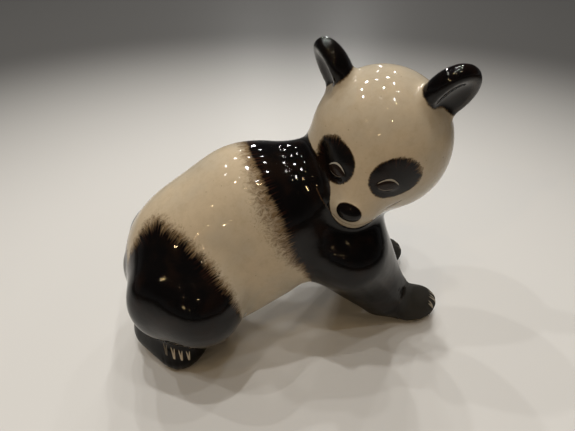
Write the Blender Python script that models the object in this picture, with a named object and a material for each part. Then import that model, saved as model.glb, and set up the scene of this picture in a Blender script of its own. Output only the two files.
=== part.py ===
"""Panda cub figurine, slip-cast in glazed porcelain as one piece.

It sits on its haunches with straight forelegs and looks back over its right shoulder.
Frame: +X the way the body points, +Y the cub's left, +Z up. The origin is the middle of the
figure's box, on the table.
"""

import math

import bmesh
import bpy
import numpy as np
from mathutils import Euler

for old in list(bpy.data.objects):
    bpy.data.objects.remove(old)

MM = 0.001

# Torso, in millimetres: the middle and the half sizes of each rounded mass
HIPS_AT, HIPS_SIZE = (-35.8, 0.0, 28.1), (21.3, 20.4, 29.4)
BARREL_AT, BARREL_SIZE = (-16.5, 0.0, 40.5), (23.1, 22.0, 29.7)
SHOULDERS_AT, SHOULDERS_SIZE = (-1.6, 0.0, 45.0), (20.1, 18.3, 22.0)
CHEST_AT, CHEST_SIZE = (19.5, 0.0, 33.0), (12.0, 18.0, 20.0)

# Neck, from between the shoulders up into the head
NECK_FROM, NECK_RADIUS = (9.5, -1.4, 51.6), 16.1

# Hind leg: given for the left side, y is mirrored for the right
THIGH_AT, THIGH_SIZE = (-42.1, 16.7, 29.2), (13.8, 8.6, 14.5)
KNEE_AT, KNEE_SIZE = (-34.0, 23.8, 28.9), (10.7, 8.5, 11.5)
HEEL_AT, HEEL_RADIUS = (-50.4, 5.1, 6.6), 8.1
TOES_AT, TOES_RADIUS = (-43.7, 14.9, 6.0), 7.7

# Foreleg
SHOULDER_AT, SHOULDER_RADIUS = (15.0, 17.5, 36.7), 12.0
WRIST_AT, WRIST_RADIUS = (30.4, 12.6, 13.0), 9.7
PAW_AT, PAW_SIZE = (43.0, 15.0, 5.4), (9.3, 7.1, 6.2)

# Tail
TAIL_AT, TAIL_SIZE = (-52.9, 0.0, 30.5), (4.8, 6.2, 8.5)

# Head: its middle, how far it turns to the right, tips down and leans to its left
HEAD_AT = (24.6, -8.0, 72.4)
HEAD_TURN, HEAD_NOD, HEAD_LEAN = 130.7, 13.5, 3.2
SKULL_SIZE = (19.3, 21.0, 22.5)

# Head's own frame: x the way the face points, y its left, z up
MUZZLE_FROM, MUZZLE_TO = (12.3, 0.0, -2.1), (18.7, 0.0, -8.8)
MUZZLE_RADII = (8.0, 7.0)
NOSE_AT, NOSE_SIZE = (24.6, 0.0, -7.2), (2.3, 3.5, 2.5)
EAR_AT, EAR_SIZE = (-1.5, 15.9, 19.1), (7.5, 4.9, 9.6)
EAR_SPLAY, EAR_SWEEP, EAR_TWIST = 26.4, 3.0, 48.0
EAR_RIM = 2.2
SCOOP_AT, SCOOP_SIZE = (-0.5, 5.5, 0.4), (6.4, 4.6, 8.6)

# Width of the fillet where one mass runs into the next
TORSO_BLEND, NECK_BLEND, HEAD_BLEND, MUZZLE_BLEND = 12.0, 8.0, 4.0, 6.0
HIND_LEG_BLEND, KNEE_BLEND, FOOT_BLEND = 9.7, 8.5, 3.5
FORELEG_BLEND, PAW_BLEND, MIDLINE_BLEND = 10.0, 7.5, 2.0
EAR_BLEND, NOSE_BLEND, TAIL_BLEND = 2.5, 1.2, 1.0

# Surface: spacing of the samples, room left around the figure, and the size of the mesh
SAMPLE_STEP, SPARE = 1.2, 4.0
TRIANGLES = 8800
SNAP, CUT_REACH = 0.25, 0.001

# Settling of the samples onto the surface: the farthest move as a share of the spacing, the
# rounds, the reach over which a slope is read, and the least slope that is believed
SETTLE, SETTLE_ROUNDS = 0.3, 2
SLOPE_REACH, LEAST_SLOPE = 0.02, 0.5
TINY = 1e-6

IVORY, GLAZE_ROUGHNESS = (0.75, 0.69, 0.58, 1.0), 0.15


def ellipsoid(points, centre, half_sizes, turn=None):
    """Distance from each point to an ellipsoid, near enough for blending."""
    local = points - np.asarray(centre)
    if turn is not None:
        local = local @ turn
    sizes = np.asarray(half_sizes)
    scaled = np.sqrt(((local / sizes) ** 2).sum(-1))
    steep = np.sqrt(((local / sizes**2) ** 2).sum(-1)) + TINY
    return scaled * (scaled - 1.0) / steep


def limb(points, start, end, start_radius, end_radius):
    """Distance to a rounded limb that tapers from one end to the other."""
    start, end = np.asarray(start), np.asarray(end)
    run = end - start
    along = np.clip((points - start) @ run / (run @ run), 0.0, 1.0)
    gap = points - start - along[..., None] * run
    return np.sqrt((gap**2).sum(-1)) - (start_radius + along * (end_radius - start_radius))


def join(first, second, blend):
    """Union of two distances with a fillet about as wide as blend."""
    near = np.maximum(blend - np.abs(first - second), 0.0)
    return np.minimum(first, second) - near**2 / (4.0 * blend)


def carve(body, cutter, blend):
    """The body with the cutter taken out of it, its edge rounded."""
    return -join(-body, cutter, blend)


def rotation(x=0.0, y=0.0, z=0.0):
    """Rotation matrix from angles in degrees; its columns are the turned axes."""
    return np.array(Euler([math.radians(a) for a in (x, y, z)]).to_matrix())


HEAD_FRAME = rotation(z=-HEAD_TURN) @ rotation(y=HEAD_NOD) @ rotation(x=-HEAD_LEAN)


def head_points(points):
    return (points - np.asarray(HEAD_AT)) @ HEAD_FRAME


def mirrored(centre, side):
    return np.asarray(centre) * (1.0, side, 1.0)


def torso(p):
    d = ellipsoid(p, HIPS_AT, HIPS_SIZE)
    d = join(d, ellipsoid(p, BARREL_AT, BARREL_SIZE), TORSO_BLEND)
    d = join(d, ellipsoid(p, SHOULDERS_AT, SHOULDERS_SIZE), TORSO_BLEND)
    return join(d, ellipsoid(p, CHEST_AT, CHEST_SIZE), TORSO_BLEND)


def ear_turn(side):
    """How an ear stands on the head: out to its side, swept back, twisted to face forward."""
    return rotation(x=-side * EAR_SPLAY) @ rotation(y=-EAR_SWEEP) @ rotation(z=-side * EAR_TWIST)


def ear(h, side):
    """One ear, in the head's frame: a leaf with its outer side scooped out."""
    turn = ear_turn(side)
    centre = mirrored(EAR_AT, side)
    leaf = ellipsoid(h, centre, EAR_SIZE, turn)
    scoop = ellipsoid((h - centre) @ turn, mirrored(SCOOP_AT, side), SCOOP_SIZE)
    return carve(leaf, scoop, EAR_RIM)


def head(h):
    d = ellipsoid(h, (0.0, 0.0, 0.0), SKULL_SIZE)
    d = join(d, limb(h, MUZZLE_FROM, MUZZLE_TO, *MUZZLE_RADII), MUZZLE_BLEND)
    for side in (1.0, -1.0):
        d = join(d, ear(h, side), EAR_BLEND)
    return join(d, ellipsoid(h, NOSE_AT, NOSE_SIZE), NOSE_BLEND)


def hind_leg(p, side):
    """Folded hind leg of one side: thigh, knee, and the foot tucked beneath them."""
    thigh = ellipsoid(p, mirrored(THIGH_AT, side), THIGH_SIZE)
    leg = join(thigh, ellipsoid(p, mirrored(KNEE_AT, side), KNEE_SIZE), KNEE_BLEND)
    foot = limb(p, mirrored(HEEL_AT, side), mirrored(TOES_AT, side), HEEL_RADIUS, TOES_RADIUS)
    return join(leg, foot, FOOT_BLEND)


def foreleg(p, side):
    ends = mirrored(SHOULDER_AT, side), mirrored(WRIST_AT, side)
    arm = limb(p, *ends, SHOULDER_RADIUS, WRIST_RADIUS)
    return join(arm, ellipsoid(p, mirrored(PAW_AT, side), PAW_SIZE), PAW_BLEND)


def with_legs(trunk, p):
    """The trunk with its four legs. Where both sides reach the midline, they meet in a small fillet."""
    grown = []
    for side in (1.0, -1.0):
        half = join(trunk, hind_leg(p, side), HIND_LEG_BLEND)
        grown.append(join(half, foreleg(p, side), FORELEG_BLEND) - trunk)
    fillet = np.clip(-np.maximum(*grown), TINY, MIDLINE_BLEND)
    return trunk + join(*grown, fillet)


def figure(p):
    """Distance from each point, in millimetres, to the whole figure's surface."""
    trunk = torso(p)
    trunk = join(trunk, limb(p, NECK_FROM, HEAD_AT, NECK_RADIUS, NECK_RADIUS), NECK_BLEND)
    d = with_legs(trunk, p)
    d = join(d, ellipsoid(p, TAIL_AT, TAIL_SIZE), TAIL_BLEND)
    return join(d, head(head_points(p)), HEAD_BLEND)


def corners():
    """Lowest and highest corner of a box that holds the whole figure."""
    masses = [(HIPS_AT, HIPS_SIZE), (BARREL_AT, BARREL_SIZE), (SHOULDERS_AT, SHOULDERS_SIZE)]
    masses += [(CHEST_AT, CHEST_SIZE), (TAIL_AT, TAIL_SIZE)]
    paired = [(THIGH_AT, THIGH_SIZE), (KNEE_AT, KNEE_SIZE), (PAW_AT, PAW_SIZE)]
    paired += [(HEEL_AT, [HEEL_RADIUS] * 3), (TOES_AT, [TOES_RADIUS] * 3)]
    paired += [(SHOULDER_AT, [SHOULDER_RADIUS] * 3), (WRIST_AT, [WRIST_RADIUS] * 3)]
    masses += [(mirrored(at, side), size) for at, size in paired for side in (1.0, -1.0)]
    face = np.linalg.norm(MUZZLE_TO) + MUZZLE_RADII[1]
    nose = np.linalg.norm(NOSE_AT) + max(NOSE_SIZE)
    ears = np.linalg.norm(EAR_AT) + max(EAR_SIZE)
    masses += [(HEAD_AT, [max(*SKULL_SIZE, face, nose, ears)] * 3)]
    lowest = np.min([np.subtract(at, size) for at, size in masses], 0)
    highest = np.max([np.add(at, size) for at, size in masses], 0)
    return lowest - SPARE, highest + SPARE


def sampled(step):
    """The figure's distances on a grid, and the grid's first corner."""
    axes = [np.arange(low, high + step, step) for low, high in zip(*corners())]
    grid = np.stack(np.meshgrid(*axes, indexing="ij"), -1)
    return figure(grid), np.array([axis[0] for axis in axes])


def skin(values, corner, step):
    """Points and quads of the zero surface: one point in each cell that it crosses."""
    inside = values < 0.0
    cells = tuple(n - 1 for n in values.shape)
    total = np.zeros(cells + (3,))
    count = np.zeros(cells)
    crossings = []
    for axis in range(3):
        others = [a for a in range(3) if a != axis]
        low = [slice(None)] * 3
        high = [slice(None)] * 3
        low[axis], high[axis] = slice(None, -1), slice(1, None)
        a, b = values[tuple(low)], values[tuple(high)]
        crossed = inside[tuple(low)] != inside[tuple(high)]
        edge = np.argwhere(crossed)
        place = edge.astype(float)
        place[:, axis] += a[crossed] / (a[crossed] - b[crossed])
        for i in (0, 1):
            for j in (0, 1):
                cell = edge.copy()
                cell[:, others[0]] -= i
                cell[:, others[1]] -= j
                np.add.at(total, tuple(cell.T), place)
                np.add.at(count, tuple(cell.T), 1.0)
        crossings.append((axis, others, edge, inside[tuple(low)][crossed]))
    used = count > 0
    number = np.full(cells, -1)
    number[used] = np.arange(used.sum())
    points = total[used] / count[used][:, None] * step + corner
    quads = []
    for axis, others, edge, low_inside in crossings:
        ring = []
        for i, j in ((0, 0), (1, 0), (1, 1), (0, 1)):
            cell = edge.copy()
            cell[:, others[0]] -= i
            cell[:, others[1]] -= j
            ring.append(number[tuple(cell.T)])
        quad = np.stack(ring, 1)
        flip = low_inside if axis == 1 else ~low_inside
        quad[flip] = quad[flip][:, ::-1]
        quads.append(quad)
    return points, np.concatenate(quads)


def settled(points, farthest):
    """Moves points along the field's slope onto the surface, none of them farther than farthest."""
    start = points
    for _ in range(SETTLE_ROUNDS):
        value = figure(points)
        slope = np.empty_like(points)
        for axis in range(3):
            offset = np.zeros(3)
            offset[axis] = SLOPE_REACH
            rise = figure(points + offset) - figure(points - offset)
            slope[:, axis] = rise / (2.0 * SLOPE_REACH)
        steep = np.maximum((slope**2).sum(-1), LEAST_SLOPE**2)
        points = points - slope * (value / steep)[:, None]
        points = start + np.clip(points - start, -farthest, farthest)
    return points


def simplified(mesh, triangles):
    """The mesh with its flatter places drawn in fewer, larger triangles."""
    trial = bpy.data.objects.new("trial", mesh)
    bpy.context.collection.objects.link(trial)
    reduce = trial.modifiers.new("reduce", "DECIMATE")
    reduce.ratio = triangles / (2.0 * len(mesh.polygons))
    graph = bpy.context.evaluated_depsgraph_get()
    smaller = bpy.data.meshes.new_from_object(trial.evaluated_get(graph))
    bpy.data.objects.remove(trial)
    return smaller


def stand_flat(mesh):
    """Cuts the figure off at the table, so that it rests on flat faces."""
    form = bmesh.new()
    form.from_mesh(mesh)
    for vert in form.verts:
        if abs(vert.co.z) < SNAP * MM:
            vert.co.z = 0.0
    cut = bmesh.ops.bisect_plane(
        form,
        geom=form.verts[:] + form.edges[:] + form.faces[:],
        dist=CUT_REACH * MM,
        plane_co=(0.0, 0.0, 0.0),
        plane_no=(0.0, 0.0, -1.0),
        clear_outer=True,
    )
    rim = [e for e in cut["geom_cut"] if isinstance(e, bmesh.types.BMEdge) and e.is_boundary]
    bmesh.ops.holes_fill(form, edges=rim, sides=0)
    bmesh.ops.triangulate(form, faces=[f for f in form.faces if len(f.verts) > 3])
    bmesh.ops.recalc_face_normals(form, faces=form.faces)
    form.to_mesh(mesh)
    form.free()


def centred(mesh):
    """Moves the figure so that the origin is the middle of its box, on the table."""
    points = np.array([vert.co for vert in mesh.vertices])
    middle = (points.min(0) + points.max(0)) / 2.0
    for vert in mesh.vertices:
        vert.co.x -= middle[0]
        vert.co.y -= middle[1]


def glazed_porcelain():
    material = bpy.data.materials.new("glazed_porcelain")
    material.use_nodes = True
    shader = material.node_tree.nodes["Principled BSDF"]
    shader.inputs["Base Color"].default_value = IVORY
    shader.inputs["Roughness"].default_value = GLAZE_ROUGHNESS
    return material


def build():
    values, corner = sampled(SAMPLE_STEP)
    points, quads = skin(values, corner, SAMPLE_STEP)
    mesh = bpy.data.meshes.new("panda")
    points = settled(points, SETTLE * SAMPLE_STEP) * MM
    mesh.from_pydata(points.tolist(), [], quads.tolist())
    mesh = simplified(mesh, TRIANGLES)
    stand_flat(mesh)
    centred(mesh)
    mesh.materials.append(glazed_porcelain())
    panda = bpy.data.objects.new("panda", mesh)
    bpy.context.collection.objects.link(panda)


build()
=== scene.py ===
"""Panda cub figurine: the glazed and painted porcelain surface, on a pale table under studio lamps.

Lengths are in millimetres up to the meshes, which are in metres. The figure is modelled in its own
frame, +X the way the body points and +Y its left, and then set on the table like the solid.
"""

import math

import bmesh
import bpy
import numpy as np
from mathutils import Euler, Matrix, Vector


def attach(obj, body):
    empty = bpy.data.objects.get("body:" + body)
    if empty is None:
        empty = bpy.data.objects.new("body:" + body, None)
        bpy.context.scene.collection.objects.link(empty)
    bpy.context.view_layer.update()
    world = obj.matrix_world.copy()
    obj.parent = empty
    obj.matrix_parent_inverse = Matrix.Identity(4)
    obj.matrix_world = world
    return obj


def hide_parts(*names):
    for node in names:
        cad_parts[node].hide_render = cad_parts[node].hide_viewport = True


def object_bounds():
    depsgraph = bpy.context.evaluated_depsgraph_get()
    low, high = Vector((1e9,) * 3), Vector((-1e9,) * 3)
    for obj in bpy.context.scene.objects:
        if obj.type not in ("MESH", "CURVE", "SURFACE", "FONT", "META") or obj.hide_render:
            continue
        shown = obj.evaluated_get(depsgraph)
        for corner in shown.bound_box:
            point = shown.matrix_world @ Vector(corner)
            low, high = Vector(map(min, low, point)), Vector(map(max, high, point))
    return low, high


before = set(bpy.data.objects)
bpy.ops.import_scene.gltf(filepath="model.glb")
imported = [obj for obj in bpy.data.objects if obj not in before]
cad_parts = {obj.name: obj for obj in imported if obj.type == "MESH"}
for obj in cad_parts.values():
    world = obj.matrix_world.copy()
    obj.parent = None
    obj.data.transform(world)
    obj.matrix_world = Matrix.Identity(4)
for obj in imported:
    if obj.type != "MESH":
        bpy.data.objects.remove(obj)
solid_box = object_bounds()

MM = 0.001
SIDES = (1.0, -1.0)

# Torso: the middle and the half sizes of each rounded mass
HIPS_AT, HIPS_SIZE = (-35.8, 0.0, 28.1), (21.3, 20.4, 29.4)
BARREL_AT, BARREL_SIZE = (-16.5, 0.0, 40.5), (23.1, 22.0, 29.7)
SHOULDERS_AT, SHOULDERS_SIZE = (-1.6, 0.0, 45.0), (20.1, 18.3, 22.0)
CHEST_AT, CHEST_SIZE = (19.5, 0.0, 33.0), (12.0, 18.0, 20.0)

# Neck, from between the shoulders up into the head
NECK_FROM, NECK_RADIUS = (9.5, -1.4, 51.6), 16.1

# Hind leg: given for the left side, y is mirrored for the right
THIGH_AT, THIGH_SIZE = (-42.1, 16.7, 29.2), (13.8, 8.6, 14.5)
KNEE_AT, KNEE_SIZE = (-34.0, 23.8, 28.9), (10.7, 8.5, 11.5)
HEEL_AT, HEEL_RADIUS = (-50.4, 5.1, 6.6), 8.1
TOES_AT, TOES_RADIUS = (-43.7, 14.9, 6.0), 7.7

# Foreleg
SHOULDER_AT, SHOULDER_RADIUS = (15.0, 17.5, 36.7), 12.0
WRIST_AT, WRIST_RADIUS = (30.4, 12.6, 13.0), 9.7
PAW_AT, PAW_SIZE = (43.0, 15.0, 5.4), (9.3, 7.1, 6.2)

# Tail
TAIL_AT, TAIL_SIZE = (-52.9, 0.0, 30.5), (4.8, 6.2, 8.5)

# Head: its middle, how far it turns to the right, tips down and leans to its left
HEAD_AT = (24.6, -8.0, 72.4)
HEAD_TURN, HEAD_NOD, HEAD_LEAN = 130.7, 13.5, 3.2
SKULL_SIZE = (19.3, 21.0, 22.5)

# Head's own frame: x the way the face points, y its left, z up
MUZZLE_FROM, MUZZLE_TO = (12.3, 0.0, -2.1), (18.7, 0.0, -8.8)
MUZZLE_RADII = (8.0, 7.0)
NOSE_AT, NOSE_SIZE = (24.6, 0.0, -7.2), (2.3, 3.5, 2.5)
EAR_AT, EAR_SIZE = (-1.5, 15.9, 19.1), (7.5, 4.9, 9.6)
EAR_SPLAY, EAR_SWEEP, EAR_TWIST = 26.4, 3.0, 48.0
EAR_RIM = 2.2
SCOOP_AT, SCOOP_SIZE = (-0.5, 5.5, 0.4), (6.4, 4.6, 8.6)

# Width of the fillet where one mass runs into the next
TORSO_BLEND, NECK_BLEND, HEAD_BLEND, MUZZLE_BLEND = 12.0, 8.0, 4.0, 6.0
HIND_LEG_BLEND, KNEE_BLEND, FOOT_BLEND = 9.7, 8.5, 3.5
FORELEG_BLEND, PAW_BLEND, MIDLINE_BLEND = 10.0, 7.5, 2.0
EAR_BLEND, NOSE_BLEND, TAIL_BLEND = 2.5, 1.2, 1.0

# Face: its features lean against the skull and sit a little to the left. An eye is placed by how
# far out and how far up it is
FACE_LEAN, FACE_SHIFT = 5.2, 0.9
EYE_AT, EYE_TILT = (7.2, 1.65), 6.7
EYE_WIDTH, EYE_HEIGHT, EYE_RISE = 3.4, 2.3, 0.45
LID_WIDTH, UPPER_LID, LOWER_LID = 3.0, 2.0, 1.1
MOUTH_DEEP, MOUTH_WIDE = 0.22, 0.45

# Toes: grooves between them, this deep and this wide
PAW_TOE_DEEP, FOOT_TOE_DEEP, TOE_WIDE = 0.35, 0.12, 0.45
PAW_TURN, PAW_TOE_STEP, PAW_TOES_FROM = 22.0, 2.7, 3.0
FOOT_TOE_STEP, FOOT_TOE_FIRST = 2.3, -49.0

# Claws: how high their tips are, how the feet's row slants, the toe count at a paw's middle and how
# strongly the paws' claws are drawn
PAW_CLAW_LOW, FOOT_CLAW_LOW, FOOT_CLAW_SLANT = 6.6, 10.2, -0.4
PAW_TOE_MIDDLE, PAW_CLAW_SHARE = 2.4, 0.6

# Where the low modelling and the claws fade: a pair's first place has none and its second has all.
# The paws' groove sides and the rear and front ends of the feet's grooves are counted in toes
FACE_FRONT, MOUTH_FADE = (8.0, 12.0), (-1.0, 2.0)
PAW_GROOVE_RUN, PAW_GROOVE_TOP, PAW_GROOVE_SIDES = 3.0, (11.0, 8.5), (1.9, 1.6)
FOOT_GROOVE_OUT, FOOT_GROOVE_TOP = (17.0, 20.5), (11.0, 9.0)
FOOT_GROOVE_ENDS, END_FADE = (-0.4, 4.4), 0.5
PAW_CLAWS_FROM, FOOT_CLAWS_FROM = (5.0, 6.0), (17.5, 18.5)

# Places whose faces are divided finer: how far they reach past the eyes, and their ends at the toes
EYE_MARGIN, LID_MARGIN = 0.6, 1.2
PAW_FINE_END, PAW_FINE_SIDE, PAW_FINE_TOP = 14.0, 8.0, 12.0
FOOT_FINE_TOP, FOOT_FINE_FRONT = 13.5, -36.0

# Surface: the sampling grid's step and margin, how far and how often points settle, and the cut at
# the table, where points nearer than a share of the step are set on it first
SAMPLE_STEP, SPARE = 0.8, 3.0
SETTLE, SETTLE_ROUNDS = 0.5, 3
SLOPE_REACH, LEAST_SLOPE = 0.02, 0.5
NEAR_TABLE, CUT_NEAR = 0.2, 0.001
TINY = 1e-6
FINE_CUTS = 2

# Places in front of the first lie on the face. Off the face, or off an ear, a place counts as the
# second away from the lines there
FACE_FROM, FAR = 10.0, 9.0


def ellipsoid(points, centre, half_sizes, turn=None):
    """Distance from each point to an ellipsoid, near enough for blending."""
    local = points - np.asarray(centre)
    if turn is not None:
        local = local @ turn
    sizes = np.asarray(half_sizes)
    scaled = np.sqrt(((local / sizes) ** 2).sum(-1))
    steep = np.sqrt(((local / sizes**2) ** 2).sum(-1)) + TINY
    return scaled * (scaled - 1.0) / steep


def limb(points, start, end, start_radius, end_radius):
    """Distance to a rounded limb that tapers from one end to the other."""
    start, end = np.asarray(start), np.asarray(end)
    run = end - start
    along = np.clip((points - start) @ run / (run @ run), 0.0, 1.0)
    gap = points - start - along[..., None] * run
    return np.sqrt((gap**2).sum(-1)) - (start_radius + along * (end_radius - start_radius))


def join(first, second, blend):
    """Union of two distances with a fillet about as wide as blend."""
    near = np.maximum(blend - np.abs(first - second), 0.0)
    return np.minimum(first, second) - near**2 / (4.0 * blend)


def carve(body, cutter, blend):
    """The body with the cutter taken out of it, its edge rounded."""
    return -join(-body, cutter, blend)


def rotation(x=0.0, y=0.0, z=0.0):
    """Rotation matrix from angles in degrees; its columns are the turned axes."""
    return np.array(Euler([math.radians(a) for a in (x, y, z)]).to_matrix())


HEAD_FRAME = rotation(z=-HEAD_TURN) @ rotation(y=HEAD_NOD) @ rotation(x=-HEAD_LEAN)


def head_points(points):
    """Points of the figure's frame seen from the head."""
    return (points - np.asarray(HEAD_AT)) @ HEAD_FRAME


def face_points(h):
    """Points of the head's frame seen from the face, which leans against it."""
    return (h - (0.0, FACE_SHIFT, 0.0)) @ rotation(x=-FACE_LEAN)


def mirrored(centre, side):
    return np.asarray(centre) * (1.0, side, 1.0)


def torso(p):
    d = ellipsoid(p, HIPS_AT, HIPS_SIZE)
    d = join(d, ellipsoid(p, BARREL_AT, BARREL_SIZE), TORSO_BLEND)
    d = join(d, ellipsoid(p, SHOULDERS_AT, SHOULDERS_SIZE), TORSO_BLEND)
    return join(d, ellipsoid(p, CHEST_AT, CHEST_SIZE), TORSO_BLEND)


def ear_turn(side):
    """How an ear stands on the head: out to its side, swept back, twisted to face forward."""
    return rotation(x=-side * EAR_SPLAY) @ rotation(y=-EAR_SWEEP) @ rotation(z=-side * EAR_TWIST)


def ear_forms(h, side):
    """The leaf of one ear and the scoop that hollows its outer side, in the head's frame."""
    turn = ear_turn(side)
    centre = mirrored(EAR_AT, side)
    leaf = ellipsoid(h, centre, EAR_SIZE, turn)
    return leaf, ellipsoid((h - centre) @ turn, mirrored(SCOOP_AT, side), SCOOP_SIZE)


def ear(h, side):
    return carve(*ear_forms(h, side), EAR_RIM)


def skull(h):
    return ellipsoid(h, (0.0, 0.0, 0.0), SKULL_SIZE)


def head(h):
    d = join(skull(h), limb(h, MUZZLE_FROM, MUZZLE_TO, *MUZZLE_RADII), MUZZLE_BLEND)
    for side in SIDES:
        d = join(d, ear(h, side), EAR_BLEND)
    return join(d, ellipsoid(h, NOSE_AT, NOSE_SIZE), NOSE_BLEND)


def hind_foot(p, side):
    return limb(p, mirrored(HEEL_AT, side), mirrored(TOES_AT, side), HEEL_RADIUS, TOES_RADIUS)


def hind_leg(p, side):
    """Folded hind leg of one side: thigh, knee, and the foot tucked beneath them."""
    thigh = ellipsoid(p, mirrored(THIGH_AT, side), THIGH_SIZE)
    leg = join(thigh, ellipsoid(p, mirrored(KNEE_AT, side), KNEE_SIZE), KNEE_BLEND)
    return join(leg, hind_foot(p, side), FOOT_BLEND)


def foreleg(p, side):
    ends = mirrored(SHOULDER_AT, side), mirrored(WRIST_AT, side)
    arm = limb(p, *ends, SHOULDER_RADIUS, WRIST_RADIUS)
    return join(arm, ellipsoid(p, mirrored(PAW_AT, side), PAW_SIZE), PAW_BLEND)


def with_legs(trunk, p):
    """The trunk with its four legs. Where both sides reach the midline, they meet in a small fillet."""
    grown = []
    for side in SIDES:
        half = join(trunk, hind_leg(p, side), HIND_LEG_BLEND)
        grown.append(join(half, foreleg(p, side), FORELEG_BLEND) - trunk)
    fillet = np.clip(-np.maximum(*grown), TINY, MIDLINE_BLEND)
    return trunk + join(*grown, fillet)


def figure(p):
    """Distance from each point to the whole figure's surface, as the solid has it."""
    trunk = torso(p)
    trunk = join(trunk, limb(p, NECK_FROM, HEAD_AT, NECK_RADIUS, NECK_RADIUS), NECK_BLEND)
    d = with_legs(trunk, p)
    d = join(d, ellipsoid(p, TAIL_AT, TAIL_SIZE), TAIL_BLEND)
    return join(d, head(head_points(p)), HEAD_BLEND)


def smooth(value, low, high):
    """0 on low's side, 1 on high's side and a soft ramp between. High may be the smaller of the two."""
    t = np.clip((value - low) / (high - low), 0.0, 1.0)
    return t * t * (3.0 - 2.0 * t)


def ridge(value, width):
    """1 where value is zero, fading out on both sides over about the width."""
    return np.exp(-((value / width) ** 2))


def eye_place(f):
    """Place on the nearer eye: across it towards the ear, up it, and how far from its lids."""
    out = np.abs(f[..., 1]) - EYE_AT[0]
    up = f[..., 2] - EYE_AT[1]
    tilt = math.radians(EYE_TILT)
    across = out * math.cos(tilt) - up * math.sin(tilt)
    above = out * math.sin(tilt) + up * math.cos(tilt)
    bow = 1.0 - (across / LID_WIDTH) ** 2
    return across, above - UPPER_LID * bow, above + LOWER_LID * bow


def off_nearest(place, first, spacing):
    """Distance from the nearest of the lines that repeat with this spacing from the first one."""
    return (place - first + spacing / 2.0) % spacing - spacing / 2.0


def paw_place(p):
    """Place on the nearer forepaw: across its toes, forward along them, and its height."""
    turn = math.radians(PAW_TURN)
    x = p[..., 0] - PAW_AT[0]
    y = np.abs(p[..., 1]) - PAW_AT[1]
    forward = x * math.cos(turn) + y * math.sin(turn)
    across = y * math.cos(turn) - x * math.sin(turn)
    return across, forward, p[..., 2]


def eye_swelling(p):
    f = face_points(head_points(p))
    across, over, under = eye_place(f)
    above = (over + UPPER_LID + under - LOWER_LID) / 2.0
    ball = 1.0 - (across / EYE_WIDTH) ** 2 - (above / EYE_HEIGHT) ** 2
    return smooth(f[..., 0], *FACE_FRONT) * EYE_RISE * smooth(ball, 0.0, 1.0)


def mouth_groove(p):
    off, along = mouth_of(p)
    return MOUTH_DEEP * ridge(off, MOUTH_WIDE) * smooth(MOUTH_END - along, *MOUTH_FADE)


def paw_grooves(p):
    """Depth of the grooves between the toes of the forepaws."""
    side, forward, height = paw_place(p)
    gap = off_nearest(side, PAW_TOE_STEP / 2.0, PAW_TOE_STEP)
    none, full = (toes * PAW_TOE_STEP for toes in PAW_GROOVE_SIDES)
    held = smooth(forward, PAW_TOES_FROM, PAW_TOES_FROM + PAW_GROOVE_RUN)
    held *= smooth(height, *PAW_GROOVE_TOP)
    held *= smooth(np.abs(side), none, full)
    return PAW_TOE_DEEP * held * ridge(gap, TOE_WIDE)


def foot_grooves(p):
    """Depth of the grooves between the toes of the hind feet."""
    along = p[..., 0]
    gap = off_nearest(along, FOOT_TOE_FIRST, FOOT_TOE_STEP)
    rear, front = (FOOT_TOE_FIRST + toes * FOOT_TOE_STEP for toes in FOOT_GROOVE_ENDS)
    held = smooth(np.abs(p[..., 1]), *FOOT_GROOVE_OUT) * smooth(p[..., 2], *FOOT_GROOVE_TOP)
    within = smooth(along, rear - END_FADE, rear + END_FADE)
    within *= smooth(along, front + END_FADE, front - END_FADE)
    return FOOT_TOE_DEEP * (held * within) * ridge(gap, TOE_WIDE)


def modelled(p):
    """Distance to the figure's surface with its low modelling: eyes, mouth and toes."""
    return figure(p) - (eye_swelling(p) - mouth_groove(p) - paw_grooves(p) - foot_grooves(p))


def corners():
    """Lowest and highest corner, from the solid's box, in the figure's own frame."""
    low, high = (np.array(corner) / MM for corner in solid_box)
    middle = np.array([(TAIL_AT[0] - TAIL_SIZE[0] + PAW_AT[0] + PAW_SIZE[0]) / 2.0, 0.0, 0.0])
    return low + middle - SPARE, high + middle + SPARE


def sampled(step):
    """The figure's distances on a grid, and the grid's first corner."""
    axes = [np.arange(low, high + step, step) for low, high in zip(*corners())]
    values = np.empty([len(axis) for axis in axes])
    for i, x in enumerate(axes[0]):
        y, z = np.meshgrid(axes[1], axes[2], indexing="ij")
        values[i] = figure(np.stack([np.full_like(y, x), y, z], -1))
    return values, np.array([axis[0] for axis in axes])


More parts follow.
